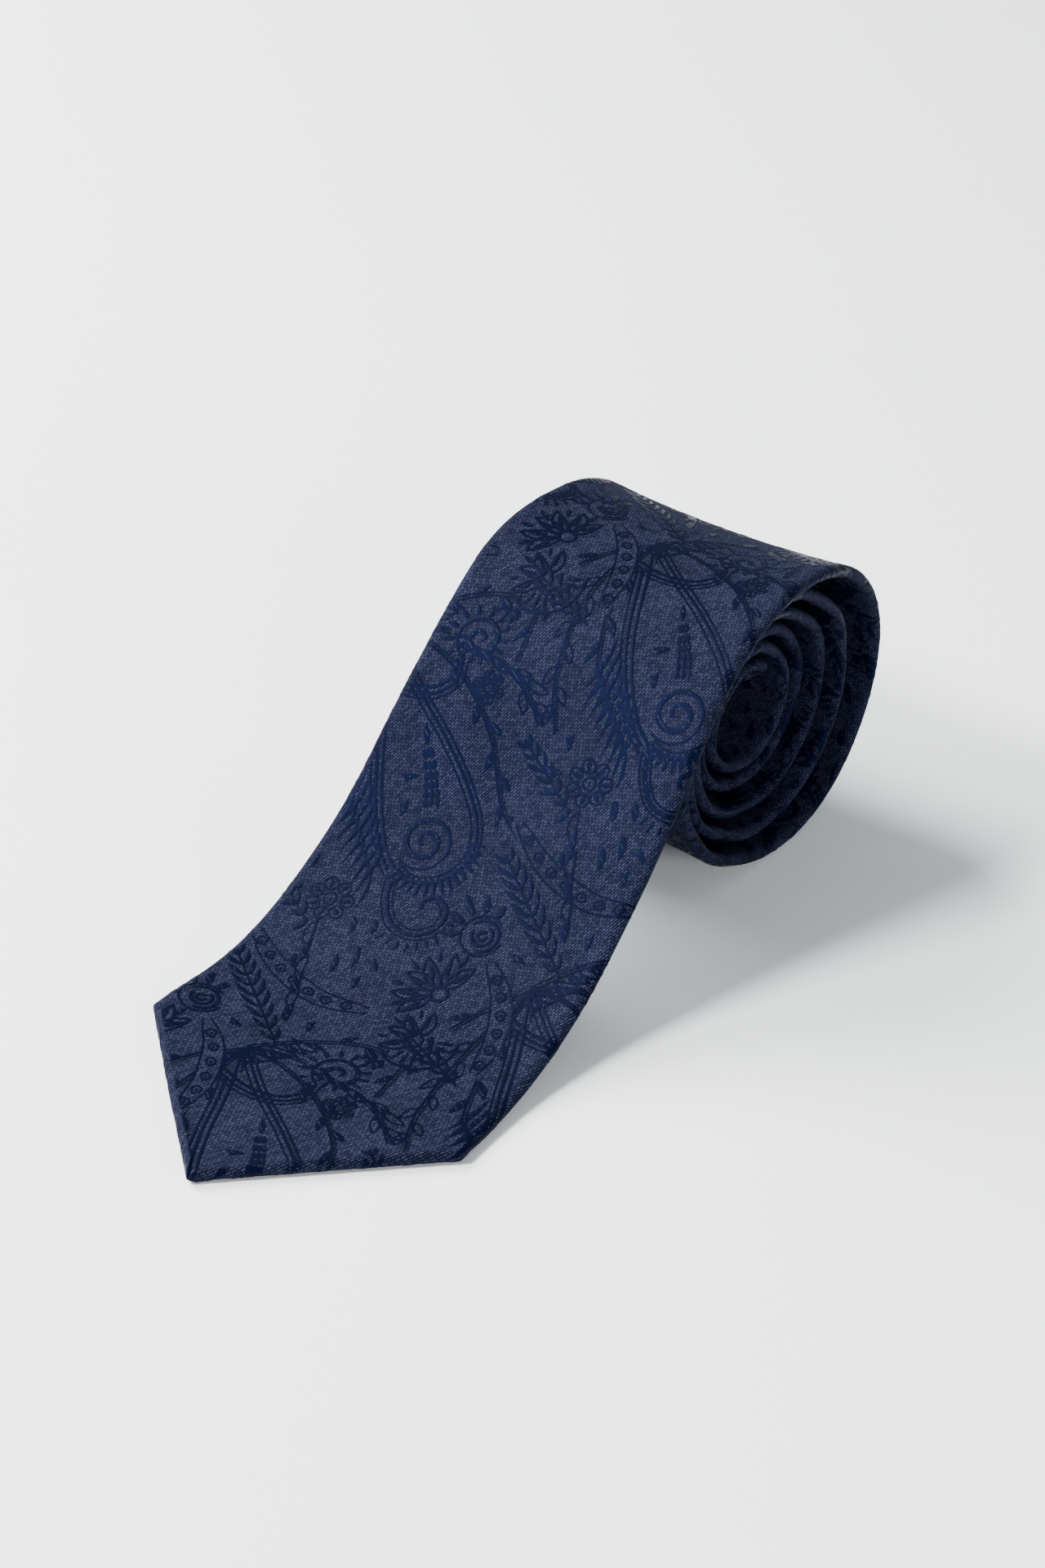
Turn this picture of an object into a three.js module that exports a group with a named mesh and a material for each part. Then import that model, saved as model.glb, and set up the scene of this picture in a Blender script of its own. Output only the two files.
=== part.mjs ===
// A rolled silk necktie, resting on a table: the wide blade comes down off the roll to its point.
// Millimetres. X runs across the blade and along the roll, -Y points to the tip, +Z is up.
import * as THREE from "three";

// The strand, measured flat.
const BLADE_WIDTH = 90;
const TIP_LENGTH = 45; // both ends come to a right-angled point
const TOP_WIDTH = 77; // where the blade meets the top of the roll
const TAIL_WIDTH = 47;
const SEAM_NECK = 700; // where the wide panel is joined to the neck panel
const SEAM_TAIL = 950; // where the neck panel is joined to the tail panel

// Layers, from the face of the cloth to its back.
const THICKNESS = 3.3;
const CLOTH = 0.5;
const SIDE_WALL = 0.8;
const EDGE = 0.9; // bevel of the folded side edges
const LINING = [-0.15, 0.85]; // interlining, lowest and highest level
const TIPPING = [-0.85, -0.45];
const THREAD = [-1.6, -1.2];
const TACK = [-2.45, -1.95];
const LAYER_INSET = 1.3; // inner layers stop this far from the folded edge

// The folded flaps on the back leave a slit, and a diamond at each end that shows the tipping.
const SLIT = 0.7; // half width
const POINT_SLIT = 0.15;
const HEM = 12;
const HEM_START = 12;
const DIAMOND = 95;
const TAIL_DIAMOND = 58;

// Side view of the blade: flat on the table, then up a slope and over onto the roll.
const FLAT = 53; // from the point to where the blade lifts off the table
const SLOPE = THREE.MathUtils.degToRad(48);
const MIDDLE = [92.5, 46]; // centre of the cloth half-way up the slope

// The roll, a leaning oval spiral that is looser behind and below than in front.
const TURNS = 5.04;
const JOIN = 0; // turn at which the blade meets the roll, 0 being its top
const OUTER = { radius: 43.0, oval: 0.075, y: 160.1, z: 42.1 };
const INNER = { radius: 38.2, oval: 0.09, y: 154.4, z: 41.6 };
const PITCH = 6.1;
const DRIFT = [1.4, -0.7]; // shift of the turns' centre, per turn
const LEAN = THREE.MathUtils.degToRad(-19.6);

// The tail end, doubled over inside the eye of the roll.
const FOLD = { lead: 5, radius: 3.4, turn: THREE.MathUtils.degToRad(160), run: 18 };

// Two places where the blade can be bent up, and the gap left between solids there.
const GAP = 0.3;
const TIP_BEND = 58;

const KEEPER = { from: 140, width: 11, span: 48, rise: 4.4, cloth: 0.8 };

// ---- the centre line of the cloth in the Y-Z plane -------------------------------------------

function rollPoint(turn) {
  const k = THREE.MathUtils.smoothstep(turn, 0.35, 0.93);
  const inward = turn - 1;
  const angle = Math.PI / 2 - 2 * Math.PI * turn;
  const radius = THREE.MathUtils.lerp(OUTER.radius, INNER.radius - PITCH * inward, k);
  const oval = THREE.MathUtils.lerp(OUTER.oval, INNER.oval, k);
  const y = THREE.MathUtils.lerp(OUTER.y, INNER.y + DRIFT[0] * inward, k);
  const z = THREE.MathUtils.lerp(OUTER.z, INNER.z + DRIFT[1] * inward, k);
  const reach = radius * (1 + oval * Math.cos(2 * (angle - LEAN)));
  return new THREE.Vector2(y + reach * Math.cos(angle), z + reach * Math.sin(angle));
}

function bladePoints() {
  const floor = THICKNESS / 2;
  const lift = new THREE.Vector2(FLAT - TIP_LENGTH, floor);
  const middle = new THREE.Vector2(...MIDDLE);
  const along = new THREE.Vector2(Math.cos(SLOPE), Math.sin(SLOPE));
  const top = rollPoint(JOIN);
  const onto = rollPoint(JOIN + 0.001).sub(top).normalize();
  const rise = new THREE.CubicBezierCurve(
    lift,
    new THREE.Vector2(lift.x + 40, floor),
    middle.clone().addScaledVector(along, -30),
    middle,
  );
  const crest = new THREE.CubicBezierCurve(
    middle,
    middle.clone().addScaledVector(along, 38),
    top.clone().addScaledVector(onto, -33),
    top,
  );
  return [new THREE.Vector2(-TIP_LENGTH, floor), ...rise.getPoints(120), ...crest.getPoints(120).slice(1)];
}

function rollPoints() {
  const steps = 2000;
  const turnAt = (i) => THREE.MathUtils.lerp(JOIN, TURNS, i / steps);
  return Array.from({ length: steps }, (_, i) => rollPoint(turnAt(i + 1)));
}

// Straight on, round the fold, and straight again to the tail's point.
function foldPoints(start, heading) {
  const points = [];
  const at = start.clone();
  let angle = heading;
  const walk = (length, turn) => {
    const steps = Math.ceil(length / 0.25);
    for (let i = 0; i < steps; i++) {
      angle -= turn / steps;
      at.x += (length / steps) * Math.cos(angle);
      at.y += (length / steps) * Math.sin(angle);
      points.push(at.clone());
    }
  };
  walk(FOLD.lead, 0);
  walk(FOLD.radius * FOLD.turn, FOLD.turn);
  walk(FOLD.run, 0);
  return points;
}

function centreLine() {
  const points = [...bladePoints(), ...rollPoints()];
  const last = points.at(-1);
  const step = last.clone().sub(points.at(-2));
  points.push(...foldPoints(last, Math.atan2(step.y, step.x)));
  const lengths = [0];
  for (let i = 1; i < points.length; i++) {
    lengths.push(lengths[i - 1] + points[i].distanceTo(points[i - 1]));
  }
  return { points, lengths, total: lengths.at(-1) };
}

const line = centreLine();

// Centre, direction and outward normal at a distance from the point of the wide blade.
function frameAt(s) {
  let i = line.lengths.findIndex((length) => length >= s);
  if (i < 0) i = line.lengths.length - 1;
  i = Math.max(i, 1);
  const a = line.points[i - 1];
  const b = line.points[i];
  const share = (s - line.lengths[i - 1]) / (line.lengths[i] - line.lengths[i - 1]);
  const centre = a.clone().lerp(b, Math.min(share, 1));
  const before = line.points[Math.max(i - 2, 0)];
  const after = line.points[Math.min(i + 1, line.points.length - 1)];
  const along = after.clone().sub(before).normalize();
  return { centre, normal: new THREE.Vector2(-along.y, along.x) };
}

// ---- widths along the strand -----------------------------------------------------------------

const TOP_AT = line.lengths[241]; // the blade's last point, on top of the roll
const TAIL_TIP = TAIL_WIDTH / 2;
const TAIL_CORNER = line.total - TAIL_TIP;

function between(s, stops) {
  const i = Math.max(1, stops.findIndex(([at]) => at >= s));
  const [s0, v0] = stops[i - 1];
  const [s1, v1] = stops[i];
  return THREE.MathUtils.mapLinear(s, s0, s1, v0, v1);
}

function halfWidth(s) {
  return between(s, [
    [0, 0],
    [TIP_LENGTH, BLADE_WIDTH / 2],
    [TOP_AT, TOP_WIDTH / 2],
    [TAIL_CORNER, TAIL_WIDTH / 2],
    [line.total + 1, -1],
  ]);
}

function slitHalf(s) {
  return between(s, [
    [0, POINT_SLIT],
    [HEM_START, POINT_SLIT],
    [TIP_LENGTH, BLADE_WIDTH / 2 - HEM],
    [DIAMOND, SLIT],
    [line.total - TAIL_DIAMOND, SLIT],
    [TAIL_CORNER, TAIL_TIP - HEM / 2],
    [line.total - HEM_START / 2, POINT_SLIT],
    [line.total + 1, POINT_SLIT],
  ]);
}

// ---- stations: one shared list, so that every layer bends at the same places ------------------

const CUTS = {
  tip: 2.5,
  layersFrom: 6,
  bendFrom: TIP_BEND - GAP / 2,
  bendTo: TIP_BEND + GAP / 2,
  stitchFrom: DIAMOND + 1,
  tackTo: DIAMOND + 3.5,
  tippingTo: 130,
  keeperFrom: KEEPER.from,
  keeperTo: KEEPER.from + KEEPER.width,
  topFrom: TOP_AT - GAP / 2,
  topTo: TOP_AT + GAP / 2,
  neckFrom: SEAM_NECK - GAP / 2,
  neckTo: SEAM_NECK + GAP / 2,
  tailFrom: SEAM_TAIL - GAP / 2,
  tailTo: SEAM_TAIL + GAP / 2,
  tailTipping: line.total - 80,
  tailTack: line.total - TAIL_DIAMOND - 3.5,
  stitchTo: line.total - TAIL_DIAMOND - 1,
  layersTo: line.total - 6,
  end: line.total - 2.5,
};
const MARKS = [HEM_START, TIP_LENGTH, DIAMOND, TAIL_CORNER, line.total - HEM_START / 2];
const BEND_STEP = THREE.MathUtils.degToRad(18);
const LONGEST_STEP = 40;

function allStations() {
  const fixed = [...Object.values(CUTS), ...MARKS, line.total - TAIL_DIAMOND].sort((a, b) => a - b);
  const stations = [fixed[0]];
  for (const stop of fixed.slice(1)) {
    const from = stations.at(-1);
    const turned = turning(from, stop);
    const count = Math.max(1, Math.ceil(turned / BEND_STEP), Math.ceil((stop - from) / LONGEST_STEP));
    let reached = 0;
    let s = from;
    const step = (stop - from) / 200;
    for (let i = 1; i < count; ) {
      reached += turning(s, s + step) / turned + 1e-9;
      s += step;
      if (reached >= i / count && s < stop - 1) {
        stations.push(s);
        i++;
      } else if (s >= stop - 1) {
        break;
      }
    }
    stations.push(stop);
  }
  return stations;
}

function turning(from, to) {
  let sum = 0;
  const steps = Math.max(2, Math.ceil((to - from) / 2));
  let last = frameAt(from).normal;
  for (let i = 1; i <= steps; i++) {
    const next = frameAt(THREE.MathUtils.lerp(from, to, i / steps)).normal;
    sum += Math.abs(Math.atan2(last.cross(next), last.dot(next)));
    last = next;
  }
  return sum;
}

const stations = allStations();

// ---- lofting ----------------------------------------------------------------------------------

// A closed solid through one outline per station; an outline is a list of [across, outward].
function loft(from, to, outlineAt) {
  const chosen = stations.filter((s) => s >= from - 1e-6 && s <= to + 1e-6);
  const rings = chosen.map((s) => {
    const { centre, normal } = frameAt(s);
    return outlineAt(s).map(([x, n]) => [x, centre.x + n * normal.x, centre.y + n * normal.y]);
  });
  const count = rings[0].length;
  const triangles = [];
  for (let r = 0; r + 1 < rings.length; r++) {
    for (let i = 0; i < count; i++) {
      const a = r * count + i;
      const b = r * count + ((i + 1) % count);
      triangles.push(a, a + count, b, b, a + count, b + count);
    }
  }
  const capOf = (s) => {
    const outline = outlineAt(s).map(([x, n]) => new THREE.Vector2(x, n));
    return THREE.ShapeUtils.triangulateShape(outline, []);
  };
  const far = (rings.length - 1) * count;
  for (const [a, b, c] of capOf(chosen[0])) triangles.push(a, b, c);
  for (const [a, b, c] of capOf(chosen.at(-1))) triangles.push(far + a, far + c, far + b);
  const geometry = new THREE.BufferGeometry();
  geometry.setAttribute("position", new THREE.Float32BufferAttribute(rings.flat(2), 3));
  geometry.setIndex(triangles);
  return geometry;
}

// The cloth folded round to the back on both sides.
function shellOutline(s) {
  const w = halfWidth(s);
  const half = THICKNESS / 2;
  const slit = Math.min(slitHalf(s), w - SIDE_WALL - 0.4);
  const edge = Math.min(EDGE, (w - slit) / 3);
  const inner = half - CLOTH;
  const right = [
    [slit, -half],
    [w - edge, -half],
    [w, -half + edge],
    [w, half - edge],
    [w - edge, half],
  ];
  const inside = [
    [w - SIDE_WALL, inner],
    [w - SIDE_WALL, -inner],
    [slit, -inner],
  ];
  const mirrored = (points) => points.map(([x, n]) => [-x, n]).reverse();
  return [...right, ...mirrored(right), ...mirrored(inside), ...inside];
}

const strip = ([low, high], halfAcross) => (s) => {
  const w = halfAcross(s);
  return [[w, low], [w, high], [-w, high], [-w, low]];
};
const innerHalf = (s) => halfWidth(s) - LAYER_INSET;

function keeperOutline() {
  const half = KEEPER.span / 2;
  const foot = -THICKNESS / 2 - GAP;
  const top = foot - KEEPER.rise;
  const t = KEEPER.cloth;
  return [
    [half, foot - t],
    [half, foot],
    [half - 7, foot],
    [half - 12, top + t],
    [12 - half, top + t],
    [7 - half, foot],
    [-half, foot],
    [-half, foot - t],
    [6.5 - half, foot - t],
    [11.5 - half, top],
    [half - 11.5, top],
    [half - 6.5, foot - t],
  ];
}

// ---- the pieces -------------------------------------------------------------------------------

const silk = { color: 0x5b6a96, roughness: 0.55, metalness: 0 };
const lightSilk = { color: 0x46547f, roughness: 0.45, metalness: 0 };
const wool = { color: 0xe6e1d4, roughness: 0.95, metalness: 0 };
const thread = { color: 0x2c3656, roughness: 0.6, metalness: 0 };

const tie = new THREE.Group();

function add(name, geometry, look) {
  const mesh = new THREE.Mesh(geometry, new THREE.MeshStandardMaterial(look));
  mesh.name = name;
  tie.add(mesh);
}

add("shell_wide_tip", loft(CUTS.tip, CUTS.bendFrom, shellOutline), silk);
add("shell_wide_front", loft(CUTS.bendTo, CUTS.topFrom, shellOutline), silk);
add("shell_wide_roll", loft(CUTS.topTo, CUTS.neckFrom, shellOutline), silk);
add("shell_neck", loft(CUTS.neckTo, CUTS.tailFrom, shellOutline), silk);
add("shell_tail", loft(CUTS.tailTo, CUTS.end, shellOutline), silk);

const interlining = strip(LINING, innerHalf);
add("interlining_tip", loft(CUTS.layersFrom, CUTS.bendFrom, interlining), wool);
add("interlining_front", loft(CUTS.bendTo, CUTS.topFrom, interlining), wool);
add("interlining_roll", loft(CUTS.topTo, CUTS.layersTo, interlining), wool);

const tipping = strip(TIPPING, innerHalf);
add("tipping_wide_tip", loft(CUTS.layersFrom, CUTS.bendFrom, tipping), lightSilk);
add("tipping_wide_front", loft(CUTS.bendTo, CUTS.tippingTo, tipping), lightSilk);
add("tipping_tail", loft(CUTS.tailTipping, CUTS.layersTo, tipping), lightSilk);

const stitch = strip(THREAD, () => SLIT / 2);
add("slip_stitch_front", loft(CUTS.stitchFrom, CUTS.topFrom, stitch), thread);
add("slip_stitch_roll", loft(CUTS.topTo, CUTS.stitchTo, stitch), thread);

const tack = strip(TACK, () => 5);
add("bar_tack_wide", loft(CUTS.stitchFrom, CUTS.tackTo, tack), thread);
add("bar_tack_tail", loft(CUTS.tailTack, CUTS.stitchTo, tack), thread);

add("keeper_loop", loft(CUTS.keeperFrom, CUTS.keeperTo, keeperOutline), silk);

// The row's origin is the middle of the footprint, on the table.
const box = new THREE.Box3().setFromObject(tie);
const middle = box.getCenter(new THREE.Vector3());
tie.children.forEach((mesh) => mesh.geometry.translate(-middle.x, -middle.y, -box.min.z));

export default tie;
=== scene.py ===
# %% [markdown]
# # A rolled silk necktie
# A necktie is one long folded strip: jacquard silk on the outside, a wool interlining inside, a lining behind
# each point, and a slip stitch that closes the back. Here it is rolled up from its narrow end, so that the
# wide blade slopes off the roll onto the table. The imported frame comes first: it holds the solids that move.

# %% Load the frame
import math

import bpy
import numpy as np
from mathutils import Matrix, Vector


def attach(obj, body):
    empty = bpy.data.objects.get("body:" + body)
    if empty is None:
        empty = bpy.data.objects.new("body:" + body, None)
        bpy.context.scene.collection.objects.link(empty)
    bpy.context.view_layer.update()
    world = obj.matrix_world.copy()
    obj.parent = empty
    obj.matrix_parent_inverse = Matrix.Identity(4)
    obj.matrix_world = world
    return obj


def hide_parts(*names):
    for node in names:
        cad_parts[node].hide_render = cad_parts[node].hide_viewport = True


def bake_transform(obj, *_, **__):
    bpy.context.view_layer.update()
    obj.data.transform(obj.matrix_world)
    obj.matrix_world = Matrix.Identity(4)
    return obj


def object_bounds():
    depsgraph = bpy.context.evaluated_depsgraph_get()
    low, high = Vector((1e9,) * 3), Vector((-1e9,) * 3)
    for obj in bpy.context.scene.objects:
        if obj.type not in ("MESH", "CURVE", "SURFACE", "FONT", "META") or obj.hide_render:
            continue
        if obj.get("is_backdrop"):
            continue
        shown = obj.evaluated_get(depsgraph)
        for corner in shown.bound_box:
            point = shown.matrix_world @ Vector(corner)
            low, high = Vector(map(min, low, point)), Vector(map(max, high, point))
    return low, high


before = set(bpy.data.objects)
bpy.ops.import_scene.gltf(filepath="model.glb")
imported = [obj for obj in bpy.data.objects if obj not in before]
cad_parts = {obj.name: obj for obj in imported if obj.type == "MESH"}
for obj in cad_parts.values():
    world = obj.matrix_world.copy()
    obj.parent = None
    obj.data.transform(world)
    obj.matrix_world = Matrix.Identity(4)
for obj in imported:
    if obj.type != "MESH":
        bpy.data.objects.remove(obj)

cad_low, cad_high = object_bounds()
print("CAD box, mm:", [round((b - a) * 1000, 1) for a, b in zip(cad_low, cad_high)])

# %% [markdown]
# ## The camera
# A long lens looks down on the tie from its front right, so that both the pattern on the blade and the coiled
# end of the roll show. The camera is placed by its own axes, because it is also tilted a little sideways.

# %% Camera
MM = 0.001
DRAWING_MIDDLE = 82.37  # mm from the zero of the strand's drawing to the middle of the tie's footprint
SHIFT_Y = (cad_low.y + cad_high.y) / 2 / MM - DRAWING_MIDDLE
CAMERA_AT = (393.81, -574.06 - DRAWING_MIDDLE, 523.27)  # mm
camera_data = bpy.data.cameras.new("product_camera")
camera_data.lens = 84.4
camera_data.sensor_width = 36
camera_data.clip_end = 50
camera = bpy.data.objects.new("product_camera", camera_data)
bpy.context.scene.collection.objects.link(camera)
looks = Vector((-0.43307, 0.72952, -0.52939)).normalized()
upward = Vector((-0.33884, 0.41248, 0.84561))
rightward = looks.cross(upward).normalized()
upward = rightward.cross(looks)
turned = Matrix((rightward, upward, -looks)).transposed().to_4x4()
camera.matrix_world = Matrix.Translation(Vector(CAMERA_AT) * MM) @ turned
bpy.context.scene.camera = camera
print("camera is", round(camera.location.length, 3), "m from the middle of the footprint")

# %% [markdown]
# ## The line of the strand
# Everything follows one line seen from the side: flat on the table, up a slope, over the crest, then round an
# oval spiral that leans back and is looser behind than in front. The tail end is doubled over in the eye.
# The line is worked out from a few sizes in millimetres, then walked in small steps so that any distance
# along the cloth gives a place and a direction.

# %% Sizes of the strand, in millimetres
TIP_LENGTH = 45.0  # both ends come to a right-angled point
FLAT = 53.0  # from the point to where the blade lifts off the table
BLADE_WIDTH, TOP_WIDTH, TAIL_WIDTH = 90.0, 77.0, 47.0
THICK = 3.3
SLOPE = math.radians(48)
MIDDLE = np.array([92.5, 46.0])  # half-way up the slope
RISE_PULL, CREST_PULL = (40, 30), (38, 33)  # how far each curve follows its two end directions
OUTER = (43.0, 0.075, 160.1, 42.1)  # radius, oval, and the centre's two places
INNER = (38.2, 0.090, 154.4, 41.6)
PITCH, DRIFT, LEAN, TURNS = 6.1, (1.4, -0.7), math.radians(-19.6), 5.04
FOLD_LEAD, FOLD_RADIUS, FOLD_TURN, FOLD_RUN = 5.0, 3.4, math.radians(160), 18.0


def smooth(x, low, high):
    t = np.clip((x - low) / (high - low), 0, 1)
    return t * t * (3 - 2 * t)


def roll_line(turn):
    k = smooth(turn, 0.35, 0.93)
    inward = turn - 1
    angle = np.pi / 2 - 2 * np.pi * turn
    inner = (INNER[0] - PITCH * inward, INNER[1], INNER[2] + DRIFT[0] * inward, INNER[3] + DRIFT[1] * inward)
    radius, oval, y, z = [a + (b - a) * k for a, b in zip(OUTER, inner)]
    reach = radius * (1 + oval * np.cos(2 * (angle - LEAN)))
    return np.stack([y + reach * np.cos(angle), z + reach * np.sin(angle)], -1)


def bezier(a, b, c, d, count=240):
    t = np.linspace(0, 1, count)[:, None]
    return (1 - t) ** 3 * a + 3 * (1 - t) ** 2 * t * b + 3 * (1 - t) * t * t * c + t**3 * d


def strand_line():
    up = np.array([math.cos(SLOPE), math.sin(SLOPE)])
    lift = np.array([FLAT - TIP_LENGTH, THICK / 2])
    top = roll_line(np.array(0.0))
    onto = roll_line(np.array(0.001)) - top
    onto = onto / np.linalg.norm(onto)
    rise = bezier(lift, lift + [RISE_PULL[0], 0], MIDDLE - RISE_PULL[1] * up, MIDDLE)
    crest = bezier(MIDDLE, MIDDLE + CREST_PULL[0] * up, top - CREST_PULL[1] * onto, top)
    coil = roll_line(np.linspace(0, TURNS, 4000))[1:]
    points = [np.array([[-TIP_LENGTH, THICK / 2]]), rise, crest[1:], coil]
    at, step = coil[-1], coil[-1] - coil[-2]
    heading = math.atan2(step[1], step[0])
    for length, turn in ((FOLD_LEAD, 0), (FOLD_RADIUS * FOLD_TURN, FOLD_TURN), (FOLD_RUN, 0)):
        t = heading - turn * np.arange(1, 61) / 60
        points.append(at + np.cumsum(np.stack([np.cos(t), np.sin(t)], -1) * length / 60, 0))
        at, heading = points[-1][-1], t[-1]
    return np.concatenate(points)


line = strand_line()
line_length = np.r_[0, np.cumsum(np.linalg.norm(np.diff(line, axis=0), axis=1))]
TOTAL = line_length[-1]
even = np.arange(0, TOTAL, 0.5)
line_y, line_z = (np.interp(even, line_length, line[:, i]) for i in (0, 1))
heading_y, heading_z = np.gradient(line_y), np.gradient(line_z)
size = np.hypot(heading_y, heading_z)
heading_y, heading_z = heading_y / size, heading_z / size
TOP_AT = float(np.interp(OUTER[2], line[:480, 0], line_length[:480]))
print(f"strand {TOTAL:.0f} mm long, crest at {TOP_AT:.0f} mm")

# %% [markdown]
# ## How the cloth hangs on that line
# Real silk is never a ruled surface. The blade sags between its puffy folded edges, one corner of the point
# lifts off the table, a shallow dimple sits half-way up the slope, and the coils are slightly uneven. These
# are small pushes along the cloth's own outward direction, and every layer gets the same push, so the lining
# and the interlining stay inside the silk.


# %% Place of any point of the cloth
def half_width(s):
    stops = [0, TIP_LENGTH, TOP_AT, TOTAL - TAIL_WIDTH / 2, TOTAL]
    return np.interp(s, stops, [0, BLADE_WIDTH / 2, TOP_WIDTH / 2, TAIL_WIDTH / 2, 0])


def drape(s, x):
    w = np.maximum(half_width(s), 1)
    across = np.clip(x / w, -1, 1)
    saddle = -1.5 * (1 - across**2) * smooth(s, 170, 225) * (1 - smooth(s, 262, 320))
    dimple = -1.7 * np.exp(-(((s - 146) / 20) ** 2) - ((x + 2) / 22) ** 2)
    corner = 2.6 * smooth(-across, 0.1, 1) * np.exp(-(((s - 50) / 21) ** 2)) * smooth(s, 12, 40)
    ripple = 0.45 * np.sin(s / 9.5 + x * 0.045) * smooth(s, 95, 130) * (1 - smooth(s, 190, 230))
    uneven = 0.30 * np.sin(s / 13.7 + x * 0.06) + 0.22 * np.sin(s / 5.9 - x * 0.11 + 1.3)
    edges = 0.25 * np.sin(s / 4.3 + 2 * across) * across**4
    return saddle + dimple + corner + ripple + (uneven + edges) * smooth(s, 330, 420)


def place(s, x, n):
    """Points in metres for a distance along, a distance across and a level above the middle, in mm."""
    s, x, n = np.broadcast_arrays(s, x, n)
    y, z, ty, tz = (np.interp(s, even, v) for v in (line_y, line_z, heading_y, heading_z))
    n = n + drape(s, x)
    sway = 0.8 * np.sin(s / 41.0) * smooth(s, 300, 380)
    return np.stack([x + sway, y - n * tz + SHIFT_Y, z + n * ty], -1) * MM


print("crest of the cloth at", [round(float(v), 3) for v in place(TOP_AT, 0.0, THICK / 2)])

# %% [markdown]
# ## The figure of the jacquard
# Jacquard silk shows its drawing because some warp threads float over the ground weave in smooth satin
# strips. The drawing here is an upright paisley repeat: a large scroll in a long teardrop, a feather fan, a
# ladder, beaded bands, leaves and small flowers. It could be a picture, but drawn strokes keep every float
# sharp and thread-sized. Each stroke is laid into one tile, which wraps on all four sides and holds at each
# cell how far it lies inside the nearest float.

# %% The empty tile and the stroke that fills it
REPEAT_X, REPEAT_Y = 71.0, 107.0  # mm, one repeat of the loom
GRAIN = 0.22  # mm, one cell of the tile, about one silk thread
COLUMNS, ROWS = round(REPEAT_X / GRAIN), round(REPEAT_Y / GRAIN)
FARTHEST = 0.7  # mm
figure = np.full((COLUMNS, ROWS), -FARTHEST, np.float32)  # mm inside a float, or minus the way to one


def stroke(points, half, cut=False):
    """Lays a rounded line through points (mm), with a half width at each of them, or cuts one away."""
    points = np.asarray(points, float)
    half = np.broadcast_to(np.asarray(half, float), len(points))
    for a, b, wa, wb in zip(points[:-1], points[1:], half[:-1], half[1:]):
        reach = max(wa, wb) + FARTHEST
        low = np.floor((np.minimum(a, b) - reach) / GRAIN).astype(int)
        high = np.ceil((np.maximum(a, b) + reach) / GRAIN).astype(int)
        i, j = np.arange(low[0], high[0] + 1), np.arange(low[1], high[1] + 1)
        px, py = (i * GRAIN)[:, None] - a[0], (j * GRAIN)[None, :] - a[1]
        d = b - a
        t = np.clip((px * d[0] + py * d[1]) / max(d @ d, 1e-9), 0, 1)
        inside = wa + (wb - wa) * t - np.hypot(px - t * d[0], py - t * d[1])
        cell = np.ix_(i % COLUMNS, j % ROWS)
        figure[cell] = np.minimum(figure[cell], -inside) if cut else np.maximum(figure[cell], inside)


def curve(points, count=40):
    """A smooth line through a few points."""
    p = np.asarray(points, float)
    p = np.vstack([2 * p[0] - p[1], p, 2 * p[-1] - p[-2]])
    out = []
    for a, b, c, d in zip(p[:-3], p[1:-2], p[2:-1], p[3:]):
        t = np.linspace(0, 1, max(3, count // (len(p) - 3)), endpoint=False)[:, None]
        out.append(0.5 * (2 * b + (c - a) * t + (2 * a - 5 * b + 4 * c - d) * t**2
                          + (3 * b - a - 3 * c + d) * t**3))
    return np.vstack([*out, p[-2]])


def beside(points, offset):
    """The same line moved sideways, to its left for a positive offset."""
    d = np.gradient(points, axis=0)
    d = d / np.maximum(np.linalg.norm(d, axis=1, keepdims=True), 1e-9)
    return points + np.stack([-d[:, 1], d[:, 0]], -1) * np.reshape(offset, (-1, 1))


print("tile is", COLUMNS, "x", ROWS, "cells")

# %% Leaves, beads and flowers
def leaf(root, tip, half, bow=0.0, outline=0.0):
    """A pointed leaf; outline is the half width of its rim when it is left hollow."""
    root, tip = np.asarray(root, float), np.asarray(tip, float)
    t = np.linspace(0, 1, 9)
    side = np.array([-(tip - root)[1], (tip - root)[0]])
    spine = root + np.outer(t, tip - root) + np.outer(np.sin(np.pi * t) * bow, side)
    swell = half * np.sin(np.pi * t**0.85) ** 0.8
    if outline:
        for sign in (1, -1):
            stroke(beside(spine, sign * swell), outline)
    else:
        stroke(spine, np.maximum(swell, 0.12))


def ring(centre, radius, half=0.26, start=0.0, arc=2 * math.pi):
    t = np.linspace(start, start + arc, 17)
    stroke(np.asarray(centre) + radius * np.stack([np.cos(t), np.sin(t)], -1), half)


def dots(points, pitch, half):
    """Short dashes set along a line."""
    lengths = np.r_[0, np.cumsum(np.linalg.norm(np.diff(points, axis=0), axis=1))]
    for at in np.arange(pitch / 2, lengths[-1], pitch):
        ends = [[np.interp(at + k * pitch, lengths, points[:, i]) for i in (0, 1)] for k in (-0.22, 0.22)]
        stroke(ends, half)


def beaded(points, width, pitch):
    """Two outlines with oval beads between them."""
    fade = width * np.sin(np.linspace(0.12, math.pi - 0.12, len(points))) ** 0.5
    stroke(beside(points, fade), 0.25)
    stroke(beside(points, -fade), 0.25)
    lengths = np.r_[0, np.cumsum(np.linalg.norm(np.diff(points, axis=0), axis=1))]
    for at in np.arange(pitch, lengths[-1] - pitch / 2, pitch):
        a, b = [np.array([np.interp(at + k, lengths, points[:, i]) for i in (0, 1)]) for k in (-1.5, 1.5)]
        leaf(a, b, 1.2, outline=0.3)
        stroke([a * 0.55 + b * 0.45, a * 0.45 + b * 0.55], 0.34)


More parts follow.
